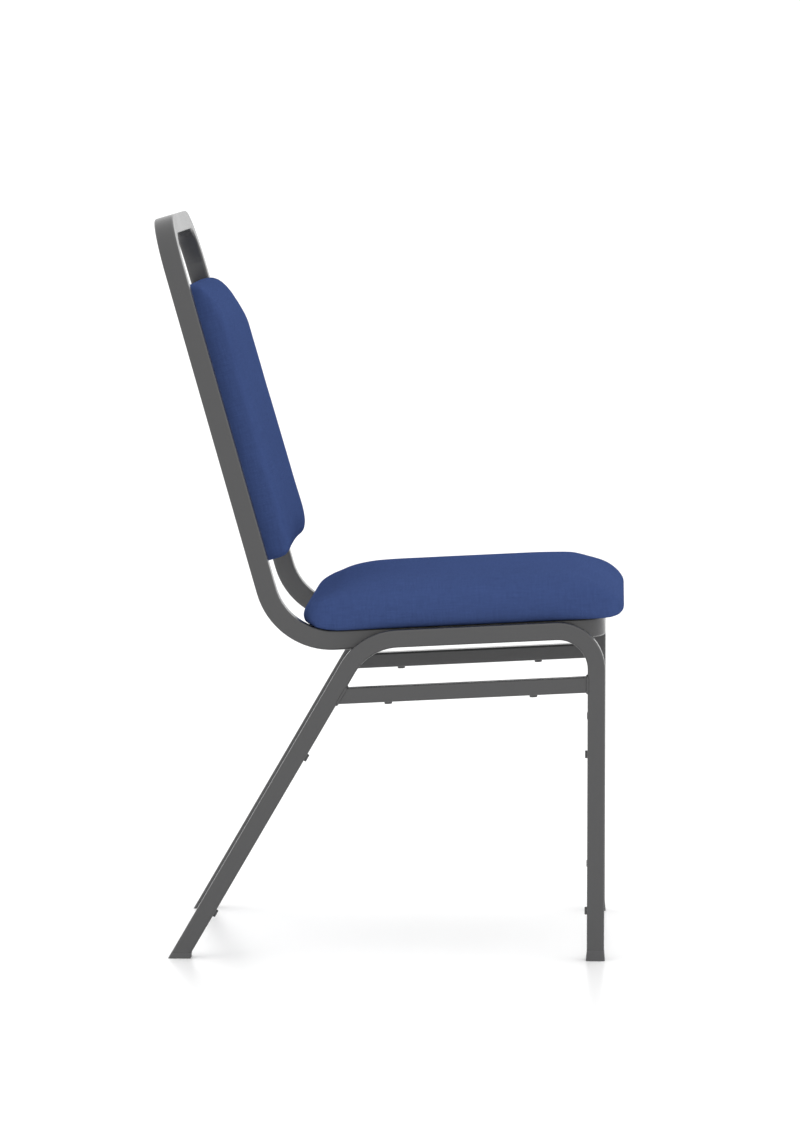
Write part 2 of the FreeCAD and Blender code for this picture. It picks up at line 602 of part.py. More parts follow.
def back_tab(sign, height):
    """Tab on the inner face of an upright, with a countersunk hole."""
    low = height - TAB_WIDTH / 2.0
    high = height + TAB_WIDTH / 2.0
    y = back_y(BACK_PANEL)
    outline = Part.makePolygon([
        Vector(sign * hoop_inside(low), y, low),
        Vector(sign * hoop_inside(high), y, high),
        Vector(sign * (hoop_inside(high) - TAB_REACH), y, high),
        Vector(sign * (hoop_inside(low) - TAB_REACH), y, low),
        Vector(sign * hoop_inside(low), y, low)])
    return prism(outline, Vector(0, -TAB, 0))


def back_parts():
    """Board, foam, cover, rear panel and fixings of the back, in the back frame."""
    ahead = Vector(0, -1, 0)
    rear = BACK_PANEL + TAB
    board_rear = rear + COVER
    board_front = board_rear + BACK_BOARD
    inner = back_body(COVER)
    window = prism(back_outline(BACK_COVER_RETURN, rear - COVER), ahead * 3.0 * COVER)
    cover = back_body(0.0).cut(inner).cut(window)
    board = prism(back_outline(BACK_BOARD_INSET, board_rear), ahead * BACK_BOARD)
    foam = inner.cut(board)
    panel = prism(back_outline(COVER, 0.0), ahead * BACK_PANEL)
    tabs = []
    screws = []
    nuts = []
    for height in (BACK_PAD_BOTTOM + BACK_TAB_INSET, BACK_PAD_TOP - BACK_TAB_INSET):
        for sign in (-1, 1):
            x = sign * (hoop_inside(height) - TAB_HOLE_INSET)
            point = Vector(x, back_y(BACK_PANEL), height)
            screws.append(countersunk_screw(point, ahead))
            gap = FIXING_CLEARANCE
            hole = Part.makeCone(BACK_SCREW + gap, BACK_SCREW / 2.0 + gap, TAB, point, ahead)
            tabs.append(back_tab(sign, height).cut(hole))
            nuts.append(tee_nut(Vector(x, back_y(board_front), height), ahead, BACK_SCREW))
            through = Vector(x, back_y(rear), height)
            board = board.cut(cylinder(tee_nut_hole(BACK_SCREW), BACK_BOARD + COVER,
                                       through, ahead))
            cover = cover.cut(cylinder(BACK_SCREW + 2.0 * gap, 2.0 * COVER, through, ahead))
            flange = BACK_SCREW * TEE_NUT_FLANGE_RATIO + 2.0 * gap
            foam = foam.cut(cylinder(flange, TEE_NUT_FLANGE + gap,
                                     Vector(x, back_y(board_front), height), ahead))
    clips = []
    depth = BACK_PANEL / 2.0
    reach = board_front - CLIP_SHORTFALL - depth
    for height in (BACK_PAD_BOTTOM + CLIP_INSET, BACK_PAD_TOP - CLIP_INSET):
        for sign in (-1, 1):
            x = sign * (hoop_inside(height) - CLIP_INSET)
            start = Vector(x, back_y(depth), height)
            stem = cylinder(CLIP, reach, start, ahead)
            flange = cylinder(CLIP_FLANGE, TAB / 2.0,
                              Vector(x, back_y(BACK_PANEL), height), ahead)
            clips.append(stem.fuse(flange).removeSplitter())
            hole = CLIP + 2.0 * PRESS_CLEARANCE
            drill = cylinder(hole, reach + PRESS_CLEARANCE, start, ahead)
            panel = panel.cut(drill)
            board = board.cut(drill)
    parts = {
        "back_board": board,
        "back_foam": foam,
        "back_cover": cover,
        "back_rear_panel": panel,
        "back_fixing_tabs": Part.makeCompound(tabs),
        "back_screws": Part.makeCompound(screws),
        "back_tee_nuts": Part.makeCompound(nuts),
        "back_panel_clips": Part.makeCompound(clips)}
    for shape in parts.values():
        shape.Placement = BACK_FRAME.multiply(shape.Placement)
    return parts


# ---------------------------------------------------------------- assembly
def build():
    """Every node of the chair, by name, in the working frame."""
    nodes = {
        "back_hoop": back_hoop(),
        "seat_front_rail": seat_front_rail(),
        "seat_cross_rail": seat_cross_rail()}
    for side in SIDES:
        nodes["leg_frame_" + side] = leg_frame(side)
        nodes["side_stretcher_" + side] = side_stretcher(side)
        nodes["front_glide_" + side] = front_glide(side)
        nodes["rear_glide_" + side] = rear_glide(side)
        for place, point, axis in button_places(side):
            nodes["stack_button_" + place + "_" + side] = stack_button(point, axis)
    nodes.update(seat_parts())
    nodes.update(back_parts())
    nodes["back_fixing_tabs"] = nodes["back_fixing_tabs"].cut(nodes["back_hoop"])
    return nodes


def main():
    os.makedirs("parts", exist_ok=True)
    nodes = build()
    whole = Part.makeCompound(list(nodes.values())).optimalBoundingBox(False, False)
    shift = Vector(0, -(whole.YMin + whole.YMax) / 2.0, 0)
    for name, shape in nodes.items():
        shape.translate(shift)
        shape.exportStep("parts/" + name + ".step")


main()
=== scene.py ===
"""Stacking chair: the detailed look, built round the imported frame.

Upholstered pads, weld beads and finishes for a steel chair, laid out as a
Blender add-on. All sizes are metres. The chair faces -Y and stands on Z = 0.
"""
import json
import math

import bmesh
import bpy
from bpy.props import FloatProperty, FloatVectorProperty, PointerProperty
from mathutils import Matrix, Vector


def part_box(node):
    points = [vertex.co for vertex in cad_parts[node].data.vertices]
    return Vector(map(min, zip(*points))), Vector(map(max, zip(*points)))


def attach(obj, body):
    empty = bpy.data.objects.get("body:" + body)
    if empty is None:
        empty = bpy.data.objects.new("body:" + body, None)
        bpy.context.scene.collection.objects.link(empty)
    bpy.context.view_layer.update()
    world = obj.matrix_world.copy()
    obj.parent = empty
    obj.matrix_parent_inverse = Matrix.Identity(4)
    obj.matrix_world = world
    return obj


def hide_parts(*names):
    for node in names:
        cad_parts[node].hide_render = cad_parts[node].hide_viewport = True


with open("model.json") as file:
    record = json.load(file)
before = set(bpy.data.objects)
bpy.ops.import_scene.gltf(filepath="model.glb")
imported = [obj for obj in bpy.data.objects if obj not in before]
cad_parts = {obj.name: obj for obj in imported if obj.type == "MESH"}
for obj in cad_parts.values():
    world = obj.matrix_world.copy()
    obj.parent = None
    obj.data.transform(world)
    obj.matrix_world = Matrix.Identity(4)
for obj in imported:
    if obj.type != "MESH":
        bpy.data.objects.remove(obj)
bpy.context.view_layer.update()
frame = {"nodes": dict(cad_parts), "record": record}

bl_info = {
    "name": "Stacking chair",
    "version": (1, 0, 0),
    "blender": (4, 5, 0),
    "location": "View3D > Sidebar > Chair",
    "description": "Pads, welds and finishes of an upholstered stacking chair",
    "category": "Object",
}

BODY = "root"
NODES = frame["nodes"]
SLOT_COLOURS = {m["slot"]: m["base_color"] for m in frame["record"]["materials"]}


# ---------------------------------------------------------------- the user's sizes
class FrameSettings(bpy.types.PropertyGroup):
    """Finish of the tubes."""
    paint: FloatVectorProperty(
        name="Paint", description="Powder coat colour", subtype="COLOR",
        default=(0.055, 0.055, 0.056), min=0.0, max=1.0)
    paint_roughness: FloatProperty(
        name="Paint roughness", description="Roughness of the powder coat",
        default=0.24, min=0.0, max=1.0, subtype="FACTOR")
    bead_width: FloatProperty(
        name="Weld bead", description="Width of a weld bead",
        default=0.0042, min=0.001, max=0.01, unit="LENGTH")


class PadSettings(bpy.types.PropertyGroup):
    """Upholstery of the seat and the back."""
    cloth: FloatVectorProperty(
        name="Cloth", description="Upholstery colour", subtype="COLOR",
        default=(0.0435, 0.0712, 0.188), min=0.0, max=1.0)
    thread_pitch: FloatProperty(
        name="Thread pitch", description="Distance between threads of the weave",
        default=0.0011, min=0.0003, max=0.004, unit="LENGTH")
    swell: FloatProperty(
        name="Swell", description="How far the foam pushes the cover out",
        default=0.005, min=0.0, max=0.02, unit="LENGTH")


class StageSettings(bpy.types.PropertyGroup):
    """Floor, lights and camera."""
    lens: FloatProperty(
        name="Lens", description="Focal length, millimetres", default=171.1, min=20.0)
    distance: FloatProperty(
        name="Camera distance", description="Camera to the middle of the chair",
        default=7.05, min=1.0, unit="LENGTH")
    azimuth: FloatProperty(
        name="Azimuth", description="Camera round the chair",
        default=math.radians(-87.71), subtype="ANGLE")
    elevation: FloatProperty(
        name="Elevation", description="Camera above the horizon",
        default=math.radians(5.15), subtype="ANGLE")


# ---------------------------------------------------------------- modelling helpers
def clear_selection():
    """Deselect everything in object mode."""
    bpy.ops.object.select_all(action="DESELECT")


def make_active(obj):
    """Select one object only."""
    clear_selection()
    obj.select_set(True)
    bpy.context.view_layer.objects.active = obj


def apply_modifiers(obj):
    """Apply each modifier of an object, from the first to the last."""
    make_active(obj)
    for name in [m.name for m in obj.modifiers]:
        bpy.ops.object.modifier_apply(modifier=name)


def block(name, low, high):
    """A box between two corners, its place in its mesh."""
    clear_selection()
    low = Vector(low)
    high = Vector(high)
    bpy.ops.mesh.primitive_cube_add(size=1.0, location=(low + high) / 2.0, scale=high - low)
    obj = bpy.context.active_object
    obj.name = name
    bpy.ops.object.transform_apply(location=True, rotation=True, scale=True)
    return obj


def pick(obj, kind, test):
    """Select the vertices, edges or faces that pass a test, in edit mode."""
    mode = {"verts": "VERT", "edges": "EDGE", "faces": "FACE"}[kind]
    bpy.ops.mesh.select_mode(type=mode)
    bpy.ops.mesh.select_all(action="DESELECT")
    mesh = bmesh.from_edit_mesh(obj.data)
    for item in getattr(mesh, kind):
        if test(item):
            item.select_set(True)
    mesh.select_flush_mode()
    bmesh.update_edit_mesh(obj.data)


def round_corner(obj, axis, corner, across, rise, segments=10):
    """Round the box edge along an axis at one corner of the other two axes.

    The round is an ellipse: the box is stretched until it is a circle,
    bevelled, and relaxed again.
    """
    first, second = [i for i in range(3) if i != axis]
    stretch = Vector((1.0, 1.0, 1.0))
    stretch[second] = across / rise
    relax = Vector((1.0, 1.0, 1.0))
    relax[second] = rise / across
    make_active(obj)
    bpy.ops.object.mode_set(mode="EDIT")
    bpy.ops.mesh.select_all(action="SELECT")
    bpy.ops.transform.resize(value=stretch, center_override=(0.0, 0.0, 0.0))

    def outwards(edge):
        start, end = (v.co for v in edge.verts)
        if abs((end - start).normalized()[axis]) < 0.9:
            return -math.inf
        centre = (start + end) / 2.0
        return centre[first] * corner[0] + centre[second] * corner[1]

    furthest = max(outwards(edge) for edge in bmesh.from_edit_mesh(obj.data).edges)
    pick(obj, "edges", lambda edge: outwards(edge) > furthest - 1e-6)
    bpy.ops.mesh.bevel(offset=across, segments=segments, profile=0.5, affect="EDGES")
    bpy.ops.mesh.select_all(action="SELECT")
    bpy.ops.transform.resize(value=relax, center_override=(0.0, 0.0, 0.0))
    bpy.ops.object.mode_set(mode="OBJECT")


def narrow_top(obj, ratio):
    """Scale the top of a box across."""
    make_active(obj)
    bpy.ops.object.mode_set(mode="EDIT")
    top = max(v.co.z for v in obj.data.vertices)
    pick(obj, "verts", lambda v: v.co.z > top - 0.001)
    bpy.ops.transform.resize(value=(ratio, 1.0, 1.0), center_override=(0.0, 0.0, 0.0))
    bpy.ops.object.mode_set(mode="OBJECT")


def intersect(keep, others):
    """Cut one block down to what it shares with the others, which are removed."""
    for other in others:
        cut = keep.modifiers.new("shared", "BOOLEAN")
        cut.operation = "INTERSECT"
        cut.solver = "EXACT"
        cut.object = other
    apply_modifiers(keep)
    for other in others:
        bpy.data.objects.remove(other)


def place(obj, matrix):
    """Move a mesh from a local frame to its place on the chair."""
    obj.data.transform(matrix)
    obj.data.update()


def finish_piece(obj, slot, material, *cad_nodes):
    """Ride a finished piece on the chair and give it its material; the slot is not used."""
    obj.data.materials.clear()
    obj.data.materials.append(material)
    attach(obj, BODY)
    if cad_nodes:
        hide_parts(*cad_nodes)


# ---------------------------------------------------------------- padding
SIM_FRAMES = 20
PRESSURE = 4.0
CLOTH_MASS = 0.3             # kilogrammes a point
EVENING = 20                 # rounds that spread the swell over the skin


def remesh(obj, voxel, smoothing):
    """Turn a blank into an even skin of small faces, with its ridges eased."""
    skin = obj.modifiers.new("skin", "REMESH")
    skin.mode = "VOXEL"
    skin.voxel_size = voxel
    skin.use_smooth_shade = True
    ease = obj.modifiers.new("ease", "SMOOTH")
    ease.factor = 0.5
    ease.iterations = smoothing
    apply_modifiers(obj)


def evened(obj, values, fixed, rounds):
    """Spread a value per vertex evenly over the skin; fixed vertices keep theirs."""
    edges = [tuple(edge.vertices) for edge in obj.data.edges]
    count = [0] * len(values)
    for first, second in edges:
        count[first] += 1
        count[second] += 1
    for _ in range(rounds):
        total = [0.0] * len(values)
        for first, second in edges:
            total[first] += values[second]
            total[second] += values[first]
        values = [old if still else 0.5 * old + 0.5 * near / max(n, 1)
                  for old, near, n, still in zip(values, total, count, fixed)]
    return values


def inflate(obj, held, cap):
    """Swell the cover over its foam as cloth under pressure, each point by a cap at most."""
    start = [v.co.copy() for v in obj.data.vertices]
    outwards = [v.normal.copy() for v in obj.data.vertices]
    fixed = [held(co) for co in start]
    pins = obj.vertex_groups.new(name="held")
    pins.add([i for i, still in enumerate(fixed) if still], 1.0, "REPLACE")
    cloth = obj.modifiers.new("cloth", "CLOTH")
    settings = cloth.settings
    settings.quality = 5
    settings.mass = CLOTH_MASS
    settings.use_pressure = True
    settings.uniform_pressure_force = PRESSURE
    settings.vertex_group_mass = "held"
    settings.effector_weights.gravity = 0.0
    scene = bpy.context.scene
    for number in range(1, SIM_FRAMES + 1):
        scene.frame_set(number)
    apply_modifiers(obj)
    scene.frame_set(1)
    obj.vertex_groups.clear()
    swell = [min(max((v.co - was).dot(out), 0.0), cap)
             for v, was, out in zip(obj.data.vertices, start, outwards)]
    swell = evened(obj, swell, fixed, EVENING)
    for vertex, was, out, rise in zip(obj.data.vertices, start, outwards, swell):
        vertex.co = was + out * rise
    obj.data.update()


def subdivide(obj):
    """One level of smooth subdivision, applied."""
    smooth = obj.modifiers.new("smooth", "SUBSURF")
    smooth.levels = 1
    smooth.render_levels = 1
    apply_modifiers(obj)
    bpy.ops.object.shade_smooth()


# ---------------------------------------------------------------- shared finishes
def new_group(name, inputs, outputs):
    """An empty shader group with its sockets; gives the tree and its two ends."""
    tree = bpy.data.node_groups.new(name, "ShaderNodeTree")
    for kind, label, value in inputs:
        socket = tree.interface.new_socket(label, in_out="INPUT", socket_type=kind)
        if value is not None:
            socket.default_value = value
    for kind, label in outputs:
        tree.interface.new_socket(label, in_out="OUTPUT", socket_type=kind)
    return tree, tree.nodes.new("NodeGroupInput"), tree.nodes.new("NodeGroupOutput")


def math_node(tree, operation, first, second=None):
    """A Math node fed by sockets or numbers; gives its output."""
    node = tree.nodes.new("ShaderNodeMath")
    node.operation = operation
    for socket, value in zip(node.inputs, (first, second)):
        if isinstance(value, bpy.types.NodeSocket):
            tree.links.new(value, socket)
        elif value is not None:
            socket.default_value = value
    return node.outputs[0]


def noise(tree, vector, scale, detail=2.0, roughness=0.5):
    """A noise over a vector; gives its value from 0 to 1."""
    node = tree.nodes.new("ShaderNodeTexNoise")
    node.inputs["Scale"].default_value = scale
    node.inputs["Detail"].default_value = detail
    node.inputs["Roughness"].default_value = roughness
    tree.links.new(vector, node.inputs["Vector"])
    return node.outputs["Fac"]


def spread(tree, value, low, high):
    """Map 0..1 to a range."""
    node = tree.nodes.new("ShaderNodeMapRange")
    node.inputs["To Min"].default_value = low
    node.inputs["To Max"].default_value = high
    tree.links.new(value, node.inputs["Value"])
    return node.outputs["Result"]


def tinted(tree, colour, factor):
    """A colour made lighter or darker by a factor."""
    node = tree.nodes.new("ShaderNodeVectorMath")
    node.operation = "SCALE"
    node.inputs[0].default_value = colour[:3]
    tree.links.new(factor, node.inputs["Scale"])
    return node.outputs["Vector"]


def bump(tree, height, depth, strength=1.0):
    """A Bump node over a height from 0 to 1 of a depth in metres."""
    node = tree.nodes.new("ShaderNodeBump")
    node.inputs["Strength"].default_value = strength
    node.inputs["Distance"].default_value = depth
    tree.links.new(height, node.inputs["Height"])
    return node.outputs["Normal"]


def grain_group():
    """Fine surface grain: a tint factor, a roughness and a normal."""
    tree, source, end = new_group("Fine grain", [
        ("NodeSocketVector", "Position", None), ("NodeSocketFloat", "Cells per metre", 900.0),
        ("NodeSocketFloat", "Depth", 0.00005), ("NodeSocketFloat", "Tint", 0.04),
        ("NodeSocketFloat", "Roughness", 0.4), ("NodeSocketFloat", "Roughness spread", 0.08)],
        [("NodeSocketFloat", "Tint"), ("NodeSocketFloat", "Roughness"),
         ("NodeSocketVector", "Normal")])
    position = source.outputs["Position"]
    fine = tree.nodes.new("ShaderNodeTexNoise")
    fine.inputs["Detail"].default_value = 3.0
    tree.links.new(position, fine.inputs["Vector"])
    tree.links.new(source.outputs["Cells per metre"], fine.inputs["Scale"])
    broad = noise(tree, position, 14.0, detail=3.0)
    change = math_node(tree, "SUBTRACT", broad, 0.5)
    tint = math_node(tree, "MULTIPLY", change, source.outputs["Tint"])
    tree.links.new(math_node(tree, "ADD", tint, 1.0), end.inputs["Tint"])
    speck = math_node(tree, "SUBTRACT", fine.outputs["Fac"], 0.5)
    both = math_node(tree, "ADD", speck, change)
    gloss = math_node(tree, "MULTIPLY", both, source.outputs["Roughness spread"])
    tree.links.new(math_node(tree, "ADD", source.outputs["Roughness"], gloss),
                   end.inputs["Roughness"])
    raised = tree.nodes.new("ShaderNodeBump")
    tree.links.new(fine.outputs["Fac"], raised.inputs["Height"])
    tree.links.new(source.outputs["Depth"], raised.inputs["Distance"])
    tree.links.new(raised.outputs["Normal"], end.inputs["Normal"])
    return tree


THREAD_DRIFT = 0.0022         # how far the threads wander from straight
STREAKS = ((45.0, 520.0, 1.0), (520.0, 45.0, 1.0))    # long thin noise, each way


def weave_group():
    """Plain weave of round threads: their height, a weft mask, slubs and streaks."""
    tree, source, end = new_group("Plain weave", [
        ("NodeSocketVector", "Position", None), ("NodeSocketFloat", "Pitch", 0.001)],
        [("NodeSocketFloat", "Height"), ("NodeSocketFloat", "Weft"),
         ("NodeSocketFloat", "Slub"), ("NodeSocketFloat", "Streak")])
    wander = tree.nodes.new("ShaderNodeTexNoise")
    wander.inputs["Scale"].default_value = 26.0
    wander.inputs["Detail"].default_value = 2.0
    tree.links.new(source.outputs["Position"], wander.inputs["Vector"])
    drift = tree.nodes.new("ShaderNodeVectorMath")
    drift.operation = "MULTIPLY_ADD"
    drift.inputs[1].default_value = (THREAD_DRIFT, THREAD_DRIFT, THREAD_DRIFT)
    tree.links.new(wander.outputs["Color"], drift.inputs[0])
    tree.links.new(source.outputs["Position"], drift.inputs[2])
    split = tree.nodes.new("ShaderNodeSeparateXYZ")
    tree.links.new(drift.outputs["Vector"], split.inputs["Vector"])
    turn = math_node(tree, "DIVIDE", math.pi, source.outputs["Pitch"])
    along = math_node(tree, "MULTIPLY", split.outputs["X"], turn)
    across = math_node(tree, "MULTIPLY", split.outputs["Y"], turn)
    warp = math_node(tree, "ABSOLUTE", math_node(tree, "SINE", along))
    weft = math_node(tree, "ABSOLUTE", math_node(tree, "SINE", across))
    over = math_node(tree, "MULTIPLY", math_node(tree, "COSINE", along),
                     math_node(tree, "COSINE", across))
    weft_up = math_node(tree, "GREATER_THAN", over, 0.0)
    warp_part = math_node(tree, "MULTIPLY", warp, math_node(tree, "SUBTRACT", 1.0, weft_up))
    weft_part = math_node(tree, "MULTIPLY", weft, weft_up)
    tree.links.new(math_node(tree, "ADD", warp_part, weft_part), end.inputs["Height"])
    tree.links.new(weft_up, end.inputs["Weft"])
    slub = noise(tree, drift.outputs["Vector"], 700.0, detail=2.0)
    tree.links.new(slub, end.inputs["Slub"])
    streaks = []
    for stretch in STREAKS:
        drawn = tree.nodes.new("ShaderNodeVectorMath")
        drawn.operation = "MULTIPLY"
        drawn.inputs[1].default_value = stretch
        tree.links.new(drift.outputs["Vector"], drawn.inputs[0])
        streaks.append(noise(tree, drawn.outputs["Vector"], 1.0, detail=2.0))
    both = math_node(tree, "ADD", streaks[0], streaks[1])
    tree.links.new(math_node(tree, "MULTIPLY", both, 0.5), end.inputs["Streak"])
    return tree


def shared(name, maker):
    """A node group, built the first time it is asked for."""
    return bpy.data.node_groups.get(name) or maker()


def new_material(name):
    """A material with its Principled shader; gives the material, its tree and the shader."""
    material = bpy.data.materials.new(name)
    material.use_nodes = True
    tree = material.node_tree
    return material, tree, tree.nodes["Principled BSDF"]


def object_position(tree):
    """The place in the object's own coordinates."""
    return tree.nodes.new("ShaderNodeTexCoord").outputs["Object"]


def grained(name, colour, roughness, grain, metallic=0.0, tint=0.05, spread_of=0.08,
            depth=0.00005):
    """A smooth material with a fine grain, such as paint, plastic, plate or foam."""
    material, tree, shader = new_material(name)
    group = tree.nodes.new("ShaderNodeGroup")
    group.node_tree = shared("Fine grain", grain_group)
    tree.links.new(object_position(tree), group.inputs["Position"])
    for label, value in (("Cells per metre", grain), ("Depth", depth), ("Tint", tint),
                         ("Roughness", roughness), ("Roughness spread", spread_of)):
        group.inputs[label].default_value = value
    tree.links.new(tinted(tree, colour, group.outputs["Tint"]), shader.inputs["Base Color"])
    tree.links.new(group.outputs["Roughness"], shader.inputs["Roughness"])
    tree.links.new(group.outputs["Normal"], shader.inputs["Normal"])
    shader.inputs["Metallic"].default_value = metallic
    return material


FACING_POWER = 6.0            # how sharply one view's weave gives way to the next
SHEEN_TINT = (0.45, 0.58, 1.0, 1.0)


def upholstery(name, colour, pitch, tilt):
    """Woven cloth whose threads run with the pad; tilt turns them to lie on it."""
    material, tree, shader = new_material(name)
    place_on_pad = tree.nodes.new("ShaderNodeMapping")
    place_on_pad.vector_type = "TEXTURE"
    place_on_pad.inputs["Rotation"].default_value = tilt
    tree.links.new(object_position(tree), place_on_pad.inputs["Vector"])
    facing = tree.nodes.new("ShaderNodeNewGeometry")
    turned = tree.nodes.new("ShaderNodeMapping")
    turned.vector_type = "TEXTURE"
    turned.inputs["Rotation"].default_value = tilt
    tree.links.new(facing.outputs["Normal"], turned.inputs["Vector"])
    normal = tree.nodes.new("ShaderNodeSeparateXYZ")
    tree.links.new(turned.outputs["Vector"], normal.inputs["Vector"])
    point = tree.nodes.new("ShaderNodeSeparateXYZ")
    tree.links.new(place_on_pad.outputs["Vector"], point.inputs["Vector"])
    # Seen from above, from the side and from the front, each with its own pair of axes.
    weaves = []
    weights = []
    for first, second, axis in (("X", "Y", "Z"), ("Y", "Z", "X"), ("X", "Z", "Y")):
        flat = tree.nodes.new("ShaderNodeCombineXYZ")
        tree.links.new(point.outputs[first], flat.inputs["X"])
        tree.links.new(point.outputs[second], flat.inputs["Y"])
        group = tree.nodes.new("ShaderNodeGroup")
        group.node_tree = shared("Plain weave", weave_group)
        group.inputs["Pitch"].default_value = pitch
        tree.links.new(flat.outputs["Vector"], group.inputs["Position"])
        size = math_node(tree, "ABSOLUTE", normal.outputs[axis])
        weights.append(math_node(tree, "POWER", size, FACING_POWER))
        weaves.append(group)
    total = math_node(tree, "ADD", math_node(tree, "ADD", weights[0], weights[1]), weights[2])

    def blended(label):
        parts = [math_node(tree, "MULTIPLY", weave.outputs[label], weight)
                 for weave, weight in zip(weaves, weights)]
        both = math_node(tree, "ADD", parts[0], parts[1])
        return math_node(tree, "DIVIDE", math_node(tree, "ADD", both, parts[2]), total)

    height = blended("Height")
    weft = blended("Weft")
    slub = blended("Slub")
    streak = blended("Streak")
    broad = noise(tree, object_position(tree), 9.0, detail=3.0)
    # Painted shade: the cloth colour is darkened where the weave is low, in the gaps between
    # threads (down to 0.66). Slubs, weft, streaks and the broad noise vary the cloth's own tone.
    shade = math_node(tree, "MULTIPLY", spread(tree, height, 0.66, 1.14),
                      spread(tree, slub, 0.84, 1.16))
    shade = math_node(tree, "MULTIPLY", shade, spread(tree, weft, 0.95, 1.06))
    shade = math_node(tree, "MULTIPLY", shade, spread(tree, streak, 0.72, 1.28))
    shade = math_node(tree, "MULTIPLY", shade, spread(tree, broad, 0.94, 1.06))
    tree.links.new(tinted(tree, colour, shade), shader.inputs["Base Color"])
    tree.links.new(spread(tree, slub, 0.82, 0.98), shader.inputs["Roughness"])
    relief = math_node(tree, "ADD", height, math_node(tree, "MULTIPLY", slub, 0.5))
    tree.links.new(bump(tree, relief, 0.00022, 0.7), shader.inputs["Normal"])
    shader.inputs["Specular IOR Level"].default_value = 0.0
    shader.inputs["Sheen Weight"].default_value = 0.02
    shader.inputs["Sheen Roughness"].default_value = 0.5
    shader.inputs["Sheen Tint"].default_value = SHEEN_TINT
    return material


def plywood_finish(name, colour):
    """Birch plywood: long grain on the faces and stacked plies at the edges."""
    material, tree, shader = new_material(name)
    stretch = tree.nodes.new("ShaderNodeMapping")
    stretch.inputs["Scale"].default_value = (1.0, 14.0, 14.0)
    tree.links.new(object_position(tree), stretch.inputs["Vector"])
    fibre = noise(tree, stretch.outputs["Vector"], 22.0, detail=5.0, roughness=0.6)
    plies = tree.nodes.new("ShaderNodeTexWave")
    plies.wave_type = "BANDS"
    plies.bands_direction = "Z"
    plies.inputs["Scale"].default_value = 130.0
    plies.inputs["Distortion"].default_value = 1.2
    tree.links.new(object_position(tree), plies.inputs["Vector"])
    shade = math_node(tree, "MULTIPLY", spread(tree, fibre, 0.72, 1.16),
                      spread(tree, plies.outputs["Fac"], 0.88, 1.05))
    tree.links.new(tinted(tree, colour, shade), shader.inputs["Base Color"])
    tree.links.new(spread(tree, fibre, 0.5, 0.72), shader.inputs["Roughness"])
    tree.links.new(bump(tree, fibre, 0.00015), shader.inputs["Normal"])
    return material


# ---------------------------------------------------------------- the pads' own frames
# Seat frame: x across, y back along the rails, z up from the plane of the rail tops.
# Back frame: x across, y = 0 at the centre of the uprights with the front at -y, and
# z up the back from the seat and back corner.
RISE = math.radians(2.9)
BACK_LEAN = math.radians(16.1)
SEAT_FRAME = Matrix.Translation((0.0, -0.266268, 0.43488)) @ Matrix.Rotation(-RISE, 4, "X")
BACK_FRAME = Matrix.Translation((0.0, 0.1331, 0.4021)) @ Matrix.Rotation(-BACK_LEAN, 4, "X")

SEAT_HALF = 0.207            # the finished seat pad
SEAT_FRONT = -0.0370
SEAT_REAR = 0.37135
SEAT_TOP = 0.0530
SEAT_CROWN = 0.006           # rise of the middle over the sides
SEAT_EASE = 0.003            # the blank's ends are longer by what easing draws in
SEAT_UNDER = -0.016          # underside of the blank, pressed up on the rails later
FRONT_FALL = (0.077, 0.046)  # length and height of the round at the top's front edge
REAR_FALL = (0.100, 0.029)
SIDE_FALL = (0.034, 0.026)
PLAN_ROUND = 0.042
SEAT_VOXEL = 0.005
CUTTER_REACH = 0.05          # cutting blocks reach this far past the blank
NOSE = 0.014                 # radius of the lower front edge
RAIL_OUTSIDE = 0.1981        # outer face of the side rails; the pad overhangs it
OVERHANG_SAG = 0.0016        # how far the overhang sinks towards the leg frames
BEND_START = 0.33235         # where the rails turn up into the back
BEND_INSIDE = 0.0732         # radius that the rear underside keeps inside
BACK_LOW = 0.104             # the finished back pad
BACK_HIGH = 0.464
BACK_FRONT = -0.0451
BACK_REAR = 0.0045
BACK_ARCH = 0.003            # rise of the lower edge in the middle
BACK_EASE = 0.002            # the blank is longer by what easing draws in
BACK_WIDE = 0.25             # half width of the side view's block, cut down later
BACK_CUTTER = (-0.12, 0.08)  # front and rear of the outline's block
BROW = (0.032, 0.075)        # depth and height of the slope at the top
LIP = 0.017                  # round of the lower front edge
SIDE_ROUND = (0.010, 0.006)  # round of the front edges at the sides
OUTLINE_ROUND = 0.010
BACK_VOXEL = 0.004
UPRIGHT_CLEAR = 0.0006       # pad side to upright
TAPER_START = 0.0822         # the uprights draw together from here up
TAPER = 0.0484
PANEL_FRONT = 0.0075         # the rear panel's faces and its gap to the uprights
PANEL_REAR = 0.0125
PANEL_CLEAR = 0.0019
PANEL_ROUND = 0.013
PANEL_EDGE = 0.0018          # round of its rear edge


def between_uprights(height):
    """Half the clear width between the uprights at a height up the back."""
    return 0.173 - TAPER * max(0.0, height - TAPER_START)


def falloff(value, low, high):
    """Smooth step from 0 at low to 1 at high."""
    t = min(max((value - low) / (high - low), 0.0), 1.0)
    return t * t * (3.0 - 2.0 * t)


